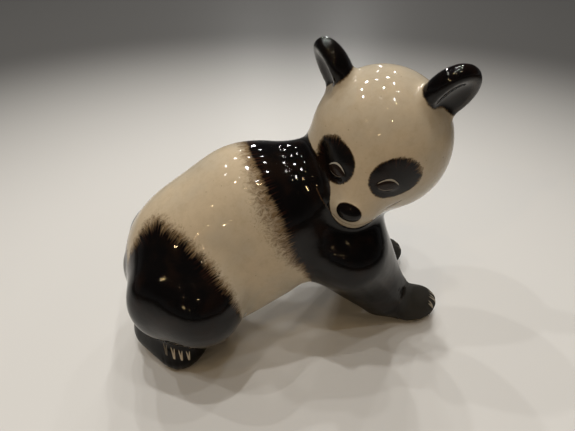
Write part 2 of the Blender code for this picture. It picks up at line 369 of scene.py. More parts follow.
def skin(values, corner, step):
    """Points and quads of the zero surface: one point in each cell that it crosses."""
    inside = values < 0.0
    cells = tuple(n - 1 for n in values.shape)
    total = np.zeros(cells + (3,))
    count = np.zeros(cells)
    crossings = []
    for axis in range(3):
        others = [a for a in range(3) if a != axis]
        low = [slice(None)] * 3
        high = [slice(None)] * 3
        low[axis], high[axis] = slice(None, -1), slice(1, None)
        a, b = values[tuple(low)], values[tuple(high)]
        crossed = inside[tuple(low)] != inside[tuple(high)]
        edge = np.argwhere(crossed)
        place = edge.astype(float)
        place[:, axis] += a[crossed] / (a[crossed] - b[crossed])
        for i in (0, 1):
            for j in (0, 1):
                cell = edge.copy()
                cell[:, others[0]] -= i
                cell[:, others[1]] -= j
                np.add.at(total, tuple(cell.T), place)
                np.add.at(count, tuple(cell.T), 1.0)
        crossings.append((axis, others, edge, inside[tuple(low)][crossed]))
    used = count > 0
    number = np.full(cells, -1)
    number[used] = np.arange(used.sum())
    points = total[used] / count[used][:, None] * step + corner
    quads = []
    for axis, others, edge, low_inside in crossings:
        ring = []
        for i, j in ((0, 0), (1, 0), (1, 1), (0, 1)):
            cell = edge.copy()
            cell[:, others[0]] -= i
            cell[:, others[1]] -= j
            ring.append(number[tuple(cell.T)])
        quad = np.stack(ring, 1)
        flip = low_inside if axis == 1 else ~low_inside
        quad[flip] = quad[flip][:, ::-1]
        quads.append(quad)
    return points, np.concatenate(quads)


def slope_of(field, points):
    """How fast a field grows along each axis."""
    slope = np.empty_like(points)
    for axis in range(3):
        offset = np.zeros(3)
        offset[axis] = SLOPE_REACH
        slope[:, axis] = (field(points + offset) - field(points - offset)) / (2.0 * SLOPE_REACH)
    return slope


def settled(points, farthest):
    """The points moved along the slope onto the modelled surface, none farther than farthest."""
    start = points
    for _ in range(SETTLE_ROUNDS):
        value, slope = modelled(points), slope_of(modelled, points)
        steep = np.maximum((slope**2).sum(-1), LEAST_SLOPE**2)
        points = points - slope * (value / steep)[:, None]
        points = start + np.clip(points - start, -farthest, farthest)
    return points


def wants_detail(p):
    """Whether a place has modelling finer than the sampled surface: eyes and toes."""
    f = face_points(head_points(p))
    across, over, under = eye_place(f)
    eye = (f[..., 0] > FACE_FROM) & (np.abs(across) < EYE_WIDTH + EYE_MARGIN)
    eye &= (over < LID_MARGIN) & (under > -LID_MARGIN)
    side, forward, height = paw_place(p)
    paw = (forward > PAW_TOES_FROM) & (forward < PAW_FINE_END)
    paw &= (np.abs(side) < PAW_FINE_SIDE) & (height < PAW_FINE_TOP)
    foot = (np.abs(p[..., 1]) > FOOT_GROOVE_OUT[0]) & (p[..., 2] < FOOT_FINE_TOP)
    foot &= p[..., 0] < FOOT_FINE_FRONT
    return eye | paw | foot


def read_points(mesh):
    flat = np.empty(len(mesh.vertices) * 3)
    mesh.vertices.foreach_get("co", flat)
    return flat.reshape(-1, 3)


def write_points(mesh, points):
    mesh.vertices.foreach_set("co", np.ascontiguousarray(points, float).ravel())
    mesh.update()


def refined(mesh):
    """Divides the faces of the detailed places and settles the new points on to the surface."""
    for _ in range(FINE_CUTS):
        form = bmesh.new()
        form.from_mesh(mesh)
        middles = np.array([face.calc_center_median() for face in form.faces])
        chosen = wants_detail(middles)
        edges = {edge for face, take in zip(form.faces, chosen) if take for edge in face.edges}
        edges = sorted(edges, key=lambda edge: edge.index)
        bmesh.ops.subdivide_edges(form, edges=edges, cuts=1, use_grid_fill=True)
        form.to_mesh(mesh)
        form.free()
        write_points(mesh, settled(read_points(mesh), SETTLE * SAMPLE_STEP))


def stand_flat(mesh):
    """Cuts the figure off at the table, so that it rests on flat faces."""
    form = bmesh.new()
    form.from_mesh(mesh)
    for vert in form.verts:
        if abs(vert.co.z) < NEAR_TABLE * SAMPLE_STEP:
            vert.co.z = 0.0
    cut = bmesh.ops.bisect_plane(
        form,
        geom=form.verts[:] + form.edges[:] + form.faces[:],
        dist=CUT_NEAR,
        plane_co=(0.0, 0.0, 0.0),
        plane_no=(0.0, 0.0, -1.0),
        clear_outer=True,
    )
    rim = [e for e in cut["geom_cut"] if isinstance(e, bmesh.types.BMEdge) and e.is_boundary]
    bmesh.ops.holes_fill(form, edges=rim, sides=0)
    bmesh.ops.triangulate(form, faces=[f for f in form.faces if len(f.verts) > 4])
    bmesh.ops.recalc_face_normals(form, faces=form.faces)
    form.to_mesh(mesh)
    form.free()


# Painted areas: the eye patches, nose and mouth in the face's frame, the rest in the figure's
HAUNCH_AT, HAUNCH_SIZE = (-50.5, 22.0), (27.6, 33.0)
SPINE_HALF, SPINE_ROUND = 7.4, 3.0
RUMP_AT, RUMP_SIZE, RUMP_BLEND = (-52.0, 0.0, 16.0), (16.0, 20.0, 22.0), 3.0
TAIL_MARGIN, TAIL_PAINT_BLEND, FOOT_MARGIN = 2.0, 2.0, 0.8
BAND_EDGE, BAND_SLOPE = 13.0, 0.38
BAND_WAVE, BAND_WAVE_AT, BAND_WAVE_WIDE = 1.5, 45.0, 6.0
NECK_EDGE = 0.9
PATCH_AT, PATCH_SIZE = (17.5, 8.5, 3.5), (9.0, 6.45, 6.1)
NOSE_PAINT_AT, NOSE_PAINT_SIZE = (25.0, -0.3, -6.8), (3.5, 3.7, 2.7)
MOUTH_LOW, MOUTH_BOW, MOUTH_END = -12.3, 0.0465, 11.6

# Black of the ears: how far from the skull it begins, behind and in the hollow, how wide it changes
# between the two, how near to an ear it stays, and how far from the skull its worn rim begins
EAR_EDGE, EAR_HOLLOW_EDGE, EAR_RIM_FADE, EAR_NEAR, RIM_FROM = 1.7, 0.7, 3.0, 2.0, 1.5

# Brush strokes at the edges of the black: their least length, then by how much it grows and where.
# The haunch's grow between two heights, twice, the collar's about a height within a width, and the
# patch's with the lean out and up
HAUNCH_FUR, HAUNCH_GROWTH = 0.9, ((1.3, 26.0, 36.0), (1.0, 44.0, 54.0))
COLLAR_FUR, COLLAR_GROWTH, CREASE_FUR = 0.8, (1.7, 48.0, 13.0), 0.25
PATCH_FUR, PATCH_GROWTH, PATCH_LEAN = 0.4, (1.2, 0.25, 0.8), (0.8, 0.6)
EAR_FUR, NOSE_FUR = 0.35, 0.15

# Brown haze beyond the strokes: given for the collar like its strokes, elsewhere as a share of them
COLLAR_HAZE, COLLAR_HAZE_GROWTH, CREASE_HAZE = 0.6, (4.0, 57.0, 16.0), 0.2
HAUNCH_HAZE_SHARE, PATCH_HAZE_SHARE = 0.8, 0.6

# Edges are walked along the surface in this many steps, and count within this distance
EDGE_STEPS, EDGE_REACH, LEAST_ALONG = 2, 9.0, 0.2


def haunch_paint(p):
    """How far inside the black of the hindquarters a point is. An ivory strip runs down the spine."""
    flank = ellipsoid(p[..., (0, 2)], HAUNCH_AT, HAUNCH_SIZE)
    flank = carve(flank, np.abs(p[..., 1]) - SPINE_HALF, SPINE_ROUND)
    d = join(flank, ellipsoid(p, RUMP_AT, RUMP_SIZE), RUMP_BLEND)
    d = join(d, ellipsoid(p, TAIL_AT, np.add(TAIL_SIZE, TAIL_MARGIN)), TAIL_PAINT_BLEND)
    for side in SIDES:
        d = np.minimum(d, hind_foot(p, side) - FOOT_MARGIN)
    return -d


def band_paint(p):
    """How far in front of the shoulder band's rear edge a point is."""
    edge = BAND_EDGE - BAND_SLOPE * p[..., 2]
    edge -= BAND_WAVE * ridge(p[..., 2] - BAND_WAVE_AT, BAND_WAVE_WIDE)
    return (p[..., 0] - edge) / math.hypot(1.0, BAND_SLOPE)


def crease_paint(p):
    """How far below the head's edge a point is."""
    return head(head_points(p)) - NECK_EDGE


def collar_paint(p):
    """How far inside the black of the shoulders and forelegs a point is."""
    return np.minimum(band_paint(p), crease_paint(p))


def patch_paint(p):
    """How far inside the black patch of the nearer eye a point is."""
    f = face_points(head_points(p))
    folded = np.stack([f[..., 0], np.abs(f[..., 1]), f[..., 2]], -1)
    return -ellipsoid(folded, PATCH_AT, PATCH_SIZE)


def ear_paint(p):
    """How far inside an ear's black a point is. The black starts lower in the hollow than behind."""
    h = head_points(p)
    near = np.minimum(ear(h, 1.0), ear(h, -1.0))
    hollow = np.maximum(*(smooth(into_hollow(h, side), -EAR_RIM_FADE, EAR_RIM_FADE) for side in SIDES))
    edge = EAR_EDGE + hollow * (EAR_HOLLOW_EDGE - EAR_EDGE)
    return np.minimum(skull(h) - edge, EAR_NEAR - near)


def into_hollow(h, side):
    """How far a point is past the crest of an ear's rim, into its hollow. It is negative behind."""
    leaf, scoop = ear_forms(h, side)
    return np.where(h[..., 1] * side > 0.0, -(leaf + scoop), -FAR)


def nose_paint(p):
    return -ellipsoid(face_points(head_points(p)), NOSE_PAINT_AT, NOSE_PAINT_SIZE)


def haunch_fur(p):
    """Length of the strokes at the hindquarters' edge: longest at the top, shortest by the foot."""
    length = HAUNCH_FUR
    for grown, low, high in HAUNCH_GROWTH:
        length = length + grown * smooth(p[..., 2], low, high)
    return length


def collar_length(p, least, growth, at_crease):
    """A length that grows about one height of the shoulder band, and the one at the head's edge."""
    grown, height, width = growth
    length = least + grown * ridge(p[..., 2] - height, width)
    return np.where(band_paint(p) < crease_paint(p), length, at_crease)


def collar_fur(p):
    """Strokes at the shoulder band, longest halfway up. The head's edge is clean."""
    return collar_length(p, COLLAR_FUR, COLLAR_GROWTH, CREASE_FUR)


def patch_fur(p):
    """Strokes round the eyes, only where the patch faces up and out."""
    f = face_points(head_points(p))
    out = (np.abs(f[..., 1]) - PATCH_AT[1]) / PATCH_SIZE[1]
    up = (f[..., 2] - PATCH_AT[2]) / PATCH_SIZE[2]
    grown, low, high = PATCH_GROWTH
    return PATCH_FUR + grown * smooth(PATCH_LEAN[0] * out + PATCH_LEAN[1] * up, low, high)


def haunch_haze(p):
    return HAUNCH_HAZE_SHARE * haunch_fur(p)


def collar_haze(p):
    """How far the brown haze reaches behind the band: far at the shoulder's top, hardly at the elbow."""
    return collar_length(p, COLLAR_HAZE, COLLAR_HAZE_GROWTH, CREASE_HAZE)


def patch_haze(p):
    return PATCH_HAZE_SHARE * patch_fur(p)


def ear_fur(p):
    return np.full(p.shape[:-1], EAR_FUR)


def nose_fur(p):
    return np.full(p.shape[:-1], NOSE_FUR)


# Each marking: how deep inside it a point is, its strokes' length and its haze's
PAINTS = (
    (collar_paint, collar_fur, collar_haze),
    (haunch_paint, haunch_fur, haunch_haze),
    (patch_paint, patch_fur, patch_haze),
    (ear_paint, ear_fur, ear_fur),
    (nose_paint, nose_fur, nose_fur),
)


def edge_of(paint, p, normal):
    """Nearest place on a marking's edge, found by walking along the surface from each point."""
    place = p
    for _ in range(EDGE_STEPS):
        slope = slope_of(paint, place)
        slope -= normal * (slope * normal).sum(-1)[:, None]
        steep = np.maximum((slope**2).sum(-1), LEAST_ALONG)
        place = place - slope * (paint(place) / steep)[:, None]
    return place


def painted(p, normal):
    """Depth inside the black along the surface, the strokes' and the haze's lengths, and their starts."""
    depth = np.full(len(p), -EDGE_REACH)
    fur, haze = np.ones(len(p)), np.ones(len(p))
    root = p.copy()
    for paint, strokes, blur in PAINTS:
        value = paint(p)
        near = np.abs(value) < EDGE_REACH
        edge = edge_of(paint, p[near], normal[near])
        along = np.maximum(np.sqrt(((p[near] - edge) ** 2).sum(-1)), np.abs(value[near]))
        value[near] = np.where(value[near] > 0.0, along, -along)
        value = np.clip(value, -EDGE_REACH, EDGE_REACH)
        nearer = value > depth
        starts = p.copy()
        starts[near] = edge
        depth = np.where(nearer, value, depth)
        fur = np.where(nearer, strokes(starts), fur)
        haze = np.where(nearer, blur(starts), haze)
        root = np.where(nearer[:, None], starts, root)
    return depth, fur, haze, root


def set_values(mesh, name, values):
    layer = mesh.attributes.new(name, "FLOAT", "POINT")
    layer.data.foreach_set("value", values.astype(np.float32))


def set_vectors(mesh, name, values):
    layer = mesh.attributes.new(name, "FLOAT_VECTOR", "POINT")
    layer.data.foreach_set("vector", values.astype(np.float32).ravel())


def claws_of(p):
    """Place among the toes: which toe, counted with fractions, up from the claws' tips, and if any."""
    side, forward, height = paw_place(p)
    out = np.abs(p[..., 1])
    on_paw = p[..., 0] > 0.0
    along = p[..., 0] - FOOT_TOE_FIRST
    toe = np.where(on_paw, side / PAW_TOE_STEP + PAW_TOE_MIDDLE, along / FOOT_TOE_STEP)
    up = np.where(on_paw, height - PAW_CLAW_LOW, height - FOOT_CLAW_LOW - FOOT_CLAW_SLANT * along)
    paw_claws = PAW_CLAW_SHARE * smooth(forward, *PAW_CLAWS_FROM)
    foot_claws = smooth(out, *FOOT_CLAWS_FROM)
    return np.stack([toe, up, np.where(on_paw, paw_claws, foot_claws)], -1)


def mouth_of(p):
    """Distance above the mouth's line on the face, and how far along it a place is."""
    f = face_points(head_points(p))
    off = f[..., 2] - MOUTH_LOW - MOUTH_BOW * f[..., 1] ** 2
    return np.where(f[..., 0] > FACE_FROM, off, FAR), np.abs(f[..., 1])


def rim_of(p):
    """How far a point is, across the rim of the nearer ear, from its crest."""
    h = head_points(p)
    across = np.where(h[..., 1] > 0.0, into_hollow(h, 1.0), into_hollow(h, -1.0))
    return np.where(skull(h) > RIM_FROM, across, FAR)


def mark_paint(mesh):
    """Writes on the mesh where its markings are, for the paint to read."""
    p = read_points(mesh)
    flat = np.empty(len(p) * 3)
    mesh.vertex_normals.foreach_get("vector", flat)
    depth, fur, haze, root = painted(p, flat.reshape(-1, 3))
    f = face_points(head_points(p))
    across, over, under = eye_place(f)
    under = np.where(f[..., 0] > FACE_FROM, under, FAR)
    set_values(mesh, "depth", depth)
    set_values(mesh, "fur", fur)
    set_values(mesh, "haze", haze)
    set_vectors(mesh, "root", root)
    set_vectors(mesh, "lids", np.stack([across, over, under], -1))
    set_vectors(mesh, "claws", claws_of(p))
    set_vectors(mesh, "face", np.stack([*mouth_of(p), rim_of(p)], -1))
    set_vectors(mesh, "place", p)


def panda_mesh():
    """The figure's mesh, standing on the table in metres with its markings written on it."""
    values, corner = sampled(SAMPLE_STEP)
    points, quads = skin(values, corner, SAMPLE_STEP)
    mesh = bpy.data.meshes.new("panda_glaze")
    points = settled(points, SETTLE * SAMPLE_STEP)
    mesh.from_pydata(points.tolist(), [], quads.tolist())
    refined(mesh)
    stand_flat(mesh)
    mark_paint(mesh)
    points = read_points(mesh)
    middle = (points.min(0) + points.max(0)) / 2.0
    middle[2] = 0.0
    write_points(mesh, (points - middle) * MM)
    mesh.shade_smooth()
    return mesh


class Nodes:
    """A material's node tree, with a short call for each kind of node that the paint uses."""

    def __init__(self, name):
        self.material = bpy.data.materials.new(name)
        self.material.use_nodes = True
        self.tree = self.material.node_tree
        self.shader = self.tree.nodes["Principled BSDF"]

    def fill(self, socket, value):
        if isinstance(value, bpy.types.NodeSocket):
            self.tree.links.new(value, socket)
        else:
            socket.default_value = value

    def attribute(self, name, output="Fac"):
        node = self.tree.nodes.new("ShaderNodeAttribute")
        node.attribute_name = name
        return node.outputs[output]

    def math(self, operation, first, second=0.0, third=0.0):
        node = self.tree.nodes.new("ShaderNodeMath")
        node.operation = operation
        for socket, value in zip(node.inputs, (first, second, third)):
            self.fill(socket, value)
        return node.outputs[0]

    def vector(self, operation, first, second):
        node = self.tree.nodes.new("ShaderNodeVectorMath")
        node.operation = operation
        self.fill(node.inputs[0], first)
        self.fill(node.inputs[1], second)
        return node.outputs[0]

    def scaled(self, vector, factor):
        node = self.tree.nodes.new("ShaderNodeVectorMath")
        node.operation = "SCALE"
        self.fill(node.inputs[0], vector)
        self.fill(node.inputs["Scale"], factor)
        return node.outputs[0]

    def length(self, vector):
        node = self.tree.nodes.new("ShaderNodeVectorMath")
        node.operation = "LENGTH"
        self.fill(node.inputs[0], vector)
        return node.outputs["Value"]

    def ramp(self, value, low, high, to_low=0.0, to_high=1.0):
        """The value carried smoothly from one range to another, and held at its ends."""
        node = self.tree.nodes.new("ShaderNodeMapRange")
        node.interpolation_type = "SMOOTHSTEP"
        for socket, given in zip(node.inputs, (value, low, high, to_low, to_high)):
            self.fill(socket, given)
        return node.outputs[0]

    def noise(self, place, scale, detail, roughness=0.5):
        node = self.tree.nodes.new("ShaderNodeTexNoise")
        self.fill(node.inputs["Vector"], place)
        node.inputs["Scale"].default_value = scale
        node.inputs["Detail"].default_value = detail
        node.inputs["Roughness"].default_value = roughness
        return node.outputs["Fac"]

    def spots(self, place, noise, low, high, full=1.0, none=0.0):
        """A noise of this scale, detail and roughness, carried from none at low to full at high."""
        return self.ramp(self.noise(place, *noise), low, high, none, full)

    def fading(self, value, unit, ends, share=1.0):
        """The value's way from none to its share, between two ends that are counted in a unit."""
        low, high = (self.math("MULTIPLY", unit, end) for end in ends)
        return self.ramp(value, low, high, 0.0, share)

    def noise_colour(self, place, scale):
        node = self.tree.nodes.new("ShaderNodeTexNoise")
        self.fill(node.inputs["Vector"], place)
        node.inputs["Scale"].default_value = scale
        node.inputs["Detail"].default_value = 0.0
        return node.outputs["Color"]

    def mix(self, share, first, second):
        node = self.tree.nodes.new("ShaderNodeMix")
        node.data_type = "RGBA"
        self.fill(node.inputs["Factor"], share)
        self.fill(node.inputs[6], first)
        self.fill(node.inputs[7], second)
        return node.outputs[2]

    def parts(self, vector):
        node = self.tree.nodes.new("ShaderNodeSeparateXYZ")
        self.fill(node.inputs[0], vector)
        return node.outputs

    def bump(self, height, strength, distance):
        node = self.tree.nodes.new("ShaderNodeBump")
        self.fill(node.inputs["Height"], height)
        node.inputs["Strength"].default_value = strength
        node.inputs["Distance"].default_value = distance
        return node.outputs[0]


# Colours of the clay, the paints and the thin lines, and the forepaws' grey, which is painted reflection
IVORY_WARM, IVORY_COOL = (0.62, 0.51, 0.36, 1.0), (0.55, 0.475, 0.36, 1.0)
IVORY_STAIN, SPECK = (0.42, 0.33, 0.21, 1.0), (0.16, 0.11, 0.07, 1.0)
BLACK, THIN_BLACK = (0.0035, 0.003, 0.003, 1.0), (0.011, 0.006, 0.004, 1.0)
BROWN, RUST = (0.055, 0.030, 0.014, 1.0), (0.035, 0.012, 0.007, 1.0)
HAZE_BROWN, PAW_REFLECTION_GREY = (0.15, 0.092, 0.040, 1.0), (0.036, 0.034, 0.030, 1.0)
LID_CREAM, LID_DULL = (0.42, 0.39, 0.33, 1.0), (0.18, 0.15, 0.12, 1.0)
CLAW_CREAM, EYE_BROWN = (0.68, 0.60, 0.47, 1.0), (0.016, 0.009, 0.006, 1.0)
RIM_GREY = (0.10, 0.09, 0.08, 1.0)

# Patterns: the noise's scale, detail and roughness, the values where it starts and where it is
# full, and what it then gives in full and, if that isn't 0, at its start
CLOUDS = (0.045, 3.0, 0.6), 0.36, 0.66
STAINS = (0.13, 4.0, 0.65), 0.52, 0.80, 0.40
MOTTLE = (0.5, 5.0, 0.75), 0.42, 0.68, 0.20
SPECKS = (1.1, 1.0), 0.765, 0.81, 0.55
THIN_PLACES = (0.14, 3.0), 0.44, 0.70, 0.8
TUFTS = (0.42, 1.0), 0.32, 0.68
HAIRS = (2.3, 1.0, 0.6), 0.30, 0.72
WISPS = (3.7, 0.0), 0.40, 0.78
FLECKS = (2.7, 2.0, 0.7), 0.52, 0.68
HAZE_PATCHES = (0.9, 3.0, 0.7), 0.25, 0.75, 0.7, -0.5
DULLNESS = (0.5, 3.0), 0.3, 0.7, 0.55, 0.42

# Strokes: how their starts sway, and how far they reach, as shares of tufts and of single hairs
# less a mean
SWAY_SCALE, SWAY = 0.55, 0.9
BROAD_REACH, FINE_REACH = (0.50, 0.60, 0.60), (0.45, 1.15, 0.55)
FINE_SHARE, HAZE_SHARE, FLECK_SHARE, RUST_SHARE = 0.85, 0.9, 0.65, 0.7

# Edges of the strokes, from none to all, negative outside the black: the broad ones' in their
# softness, which grows with their length, the fine ones' in their length, the haze's in its own
LEAST_SOFT, SOFT_SHARE = 0.10, 0.36
BROAD_ENDS, FINE_ENDS = (-1.5, 1.0), (-0.25, 0.40)
HAZE_ENDS, FLECK_ENDS, FLECK_HAZE = (-1.7, 0.2), (-1.5, -0.2), (1.0, 2.5)

# Rust streaks: how deep they reach, between which hairs they lie, and which lengths of stroke have any
RUST_DEEP, RUST_HAIRS, RUST_FUR = 4.0, 0.55, (0.2, 0.7)

# Thin lines: half of their width and how far they fade beyond it
LOWER_LID_LINE, MOUTH_LINE, WORN_LINE = (0.08, 0.12), (0.13, 0.18), (0.3, 0.9)
UPPER_LID_LINE, UPPER_LID_ENDS, UPPER_LID_SOFT, EYE_SOFT = 0.16, 0.07, 0.10, 0.1
UPPER_LID_SHARE, LOWER_LID_SHARE, WORN_SHARE, WORN_AT = 0.95, 0.75, 0.35, 0.8

# Where lines end: the eye and its lower lid before the corners of the lids, the mouth before and
# past its own. OFF_FACE cuts off what lies far above the lower lid, as places off the face do
EYE_CORNERS, LOWER_LID_CORNERS, OFF_FACE = (0.75, 0.15), (1.6, 0.9), (5.0, 6.0)
MOUTH_CORNER, MOUTH_PALE, MOUTH_DARK, MOUTH_LEAST = (-0.1, 0.3), 7.0, 1.5, 0.45

# Claws: how their strokes part upwards, their height, and the strokes' width at the tip and the top
CLAW_SPREAD, CLAW_HIGH, CLAW_SOFT, CLAW_SHARE = 0.062, 3.4, 0.045, 0.92
CLAW_TIP_WIDTH, CLAW_TOP_WIDTH, CLAW_TIP, CLAW_TOP = 0.11, 0.045, (-0.5, 0.0), (2.8, 3.7)

# Each row of claws, counted in toes: its ends, and the first claw, which is this faint
ROW_START, ROW_END, FIRST_CLAW, FAINT = (0.0, 0.05), (3.95, 4.0), (0.85, 1.15), 0.25

# The glaze: a clear coat over the colours, thin near the table and thinner on the paws. On the
# forelegs, which begin at x 0, it stays thin higher up
FULL_GLAZE, THIN_GLAZE, GLAZE_LOW, GLAZE_HIGH = 0.88, 0.38, 6.0, 17.0
FORELEG_RISE, FORELEG_FULL, PAW_WORN = 19.0, 12.0, 0.65
PAW_BEHIND, PAW_TOP = (12.0, 4.0), (16.0, 26.0)
GLAZE = {
    "IOR": 1.45,
    "Specular IOR Level": 0.0,
    "Coat IOR": 1.38,
    "Coat Roughness": 0.05,
}

# Unevenness of the glaze: the noise of its waves, grain and brush marks, and their heights
WAVES, GRAIN, MARKS = (0.11, 2.0), (1.3, 2.0), (1.6, 2.0)
GRAIN_HEIGHT, MARKS_HEIGHT = 0.04, 0.06
BUMP_STRENGTH, BUMP_DISTANCE = 0.45, 0.0006


def ivory_paint(n, place):
    """Cream body colour, warmer and cooler in clouds, with faint stains and specks."""
    colour = n.mix(n.spots(place, *CLOUDS), IVORY_COOL, IVORY_WARM)
    colour = n.mix(n.spots(place, *STAINS), colour, IVORY_STAIN)
    colour = n.mix(n.spots(place, *MOTTLE), colour, IVORY_STAIN)
    return n.mix(n.spots(place, *SPECKS), colour, SPECK)


def reached(n, depth, fur, tufts, hairs, shares):
    """Depth inside the black once each stroke has its own reach."""
    reach = n.math("ADD", n.math("MULTIPLY", tufts, shares[0]), n.math("MULTIPLY", hairs, shares[1]))
    return n.math("ADD", depth, n.math("MULTIPLY", n.math("SUBTRACT", reach, shares[2]), fur))


def brown_haze(n, depth, start):
    """Patchy brown beyond the strokes, and the dark flecks in it where it reaches far."""
    blur = n.attribute("haze")
    patches = n.math("MULTIPLY", n.spots(start, *HAZE_PATCHES), blur)
    haze = n.fading(n.math("ADD", depth, patches), blur, HAZE_ENDS, HAZE_SHARE)
    near = n.fading(depth, blur, FLECK_ENDS, FLECK_SHARE)
    flecks = n.math("MULTIPLY", n.spots(start, *FLECKS), near)
    return haze, n.math("MULTIPLY", flecks, n.ramp(blur, *FLECK_HAZE))


def fur_strokes(n, place):
    """Solid black, brown haze and inner streaks of the brushed edges.

    A stroke keeps one start on the edge over its whole length, so noise read at the starts gives each
    its own reach, and the black ends in peaks that thin out.
    """
    depth, fur, root = n.attribute("depth"), n.attribute("fur"), n.attribute("root", "Vector")
    outside = n.math("MAXIMUM", n.math("MULTIPLY", depth, -1.0), 0.0)
    sway = n.vector("SUBTRACT", n.noise_colour(place, SWAY_SCALE), (0.5, 0.5, 0.5))
    start = n.vector("ADD", root, n.scaled(sway, n.math("MULTIPLY", outside, SWAY)))
    tufts, hairs, wisps = (n.spots(start, *pattern) for pattern in (TUFTS, HAIRS, WISPS))
    soft = n.math("ADD", LEAST_SOFT, n.math("MULTIPLY", fur, SOFT_SHARE))
    broad = n.fading(reached(n, depth, fur, tufts, hairs, BROAD_REACH), soft, BROAD_ENDS)
    fine = n.fading(reached(n, depth, fur, tufts, wisps, FINE_REACH), fur, FINE_ENDS, FINE_SHARE)
    haze, flecks = brown_haze(n, depth, start)
    solid = n.math("MAXIMUM", n.math("MAXIMUM", broad, fine), flecks)
    streaks = n.ramp(hairs, 0.0, RUST_HAIRS, 1.0, 0.0)
    streaks = n.math("MULTIPLY", n.ramp(depth, 0.0, RUST_DEEP, 1.0, 0.0), streaks)
    streaks = n.math("MULTIPLY", streaks, n.ramp(fur, *RUST_FUR))
    return solid, haze, streaks


def stroke(n, off, width, soft):
    """1 on a thin line where off is zero."""
    return n.ramp(n.math("ABSOLUTE", off), width, width + soft, 1.0, 0.0)


def eye_colours(n, colour):
    """Dark brown between the lids, and the cream line of each lid."""
    across, over, under = n.parts(n.attribute("lids", "Vector"))
    from_middle = n.math("ABSOLUTE", across)
    span = n.ramp(from_middle, *(LID_WIDTH - short for short in EYE_CORNERS), 1.0, 0.0)
    face = n.ramp(under, *OFF_FACE, 1.0, 0.0)
    below = n.ramp(over, -EYE_SOFT, EYE_SOFT, 1.0, 0.0)
    opened = n.math("MULTIPLY", below, n.ramp(under, -EYE_SOFT, EYE_SOFT))
    span = n.math("MULTIPLY", span, face)
    colour = n.mix(n.math("MULTIPLY", opened, span), colour, EYE_BROWN)
    width = n.ramp(from_middle, 0.0, LID_WIDTH, UPPER_LID_LINE, UPPER_LID_ENDS)
    faded = n.math("ADD", width, UPPER_LID_SOFT)
    upper = n.ramp(n.math("ABSOLUTE", over), width, faded, UPPER_LID_SHARE, 0.0)
    colour = n.mix(n.math("MULTIPLY", upper, span), colour, LID_CREAM)
    span = n.ramp(from_middle, *(LID_WIDTH - short for short in LOWER_LID_CORNERS), 1.0, 0.0)
    lower = n.math("MULTIPLY", stroke(n, under, *LOWER_LID_LINE), n.math("MULTIPLY", span, face))
    return n.mix(n.math("MULTIPLY", lower, LOWER_LID_SHARE), colour, LID_DULL)


def claw_colours(n, colour):
    """Two cream strokes that meet at each claw's tip, finer on the paws. Each row's first is faint."""
    toe, up, there = n.parts(n.attribute("claws", "Vector"))
    off = n.math("SUBTRACT", n.math("FRACT", toe), 0.5)
    spread = n.math("MULTIPLY", up, CLAW_SPREAD)
    line = n.math("SUBTRACT", n.math("ABSOLUTE", off), spread)
    width = n.ramp(up, 0.0, CLAW_HIGH, CLAW_TIP_WIDTH, CLAW_TOP_WIDTH)
    width = n.math("MULTIPLY", width, n.ramp(there, 0.3, 1.0, 0.5, 1.0))
    on = n.ramp(n.math("ABSOLUTE", line), width, n.math("ADD", width, CLAW_SOFT), 1.0, 0.0)
    length = n.math("MULTIPLY", n.ramp(up, *CLAW_TIP), n.ramp(up, *CLAW_TOP, 1.0, 0.0))
    faint = n.ramp(toe, *FIRST_CLAW, FAINT, 1.0)
    row = n.math("MULTIPLY", n.ramp(toe, *ROW_START), n.ramp(toe, *ROW_END, 1.0, 0.0))
    row = n.math("MULTIPLY", row, n.math("MULTIPLY", faint, there))
    on = n.math("MULTIPLY", on, n.math("MULTIPLY", length, row))
    return n.mix(n.math("MULTIPLY", on, CLAW_SHARE), colour, CLAW_CREAM)


def face_colours(n, colour):
    """The mouth's thin brown line, darkest at its corner, and the paint worn thin on the ears' rims."""
    off, along, rim = n.parts(n.attribute("face", "Vector"))
    ends = n.ramp(along, *(MOUTH_END + past for past in MOUTH_CORNER), 1.0, 0.0)
    dark = n.ramp(along, MOUTH_PALE, MOUTH_END - MOUTH_DARK, MOUTH_LEAST, 1.0)
    mouth = n.math("MULTIPLY", stroke(n, off, *MOUTH_LINE), n.math("MULTIPLY", ends, dark))
    colour = n.mix(mouth, colour, BROWN)
    worn = stroke(n, n.math("SUBTRACT", rim, WORN_AT), *WORN_LINE)
    return n.mix(n.math("MULTIPLY", worn, WORN_SHARE), colour, RIM_GREY)


def paw_share(n, place):
    """1 on the forepaws, 0 elsewhere."""
    forward, _, height = n.parts(place)
    ahead = n.ramp(forward, *(PAW_AT[0] - behind for behind in PAW_BEHIND))
    return n.math("MULTIPLY", ahead, n.ramp(height, *PAW_TOP, 1.0, 0.0))


def glaze_weight(n, place):
    """Strength of the clear coat: full high up, thin near the table and thinnest on the paws."""
    forward, _, height = n.parts(place)
    rise = n.ramp(forward, 0.0, FORELEG_FULL, 0.0, FORELEG_RISE)
    weight = n.ramp(n.math("SUBTRACT", height, rise), GLAZE_LOW, GLAZE_HIGH, THIN_GLAZE, FULL_GLAZE)
    worn = n.math("MULTIPLY", paw_share(n, place), PAW_WORN)
    return n.math("MULTIPLY", weight, n.math("SUBTRACT", 1.0, worn))


def glaze_height(n, place, solid):
    """Low waves in the glaze, with a fine grain and with brush marks in the black."""
    grain = n.math("MULTIPLY", n.noise(place, *GRAIN), GRAIN_HEIGHT)
    marks = n.noise(n.attribute("root", "Vector"), *MARKS)
    marks = n.math("MULTIPLY", marks, n.math("MULTIPLY", solid, MARKS_HEIGHT))
    return n.math("ADD", n.math("ADD", n.noise(place, *WAVES), grain), marks)


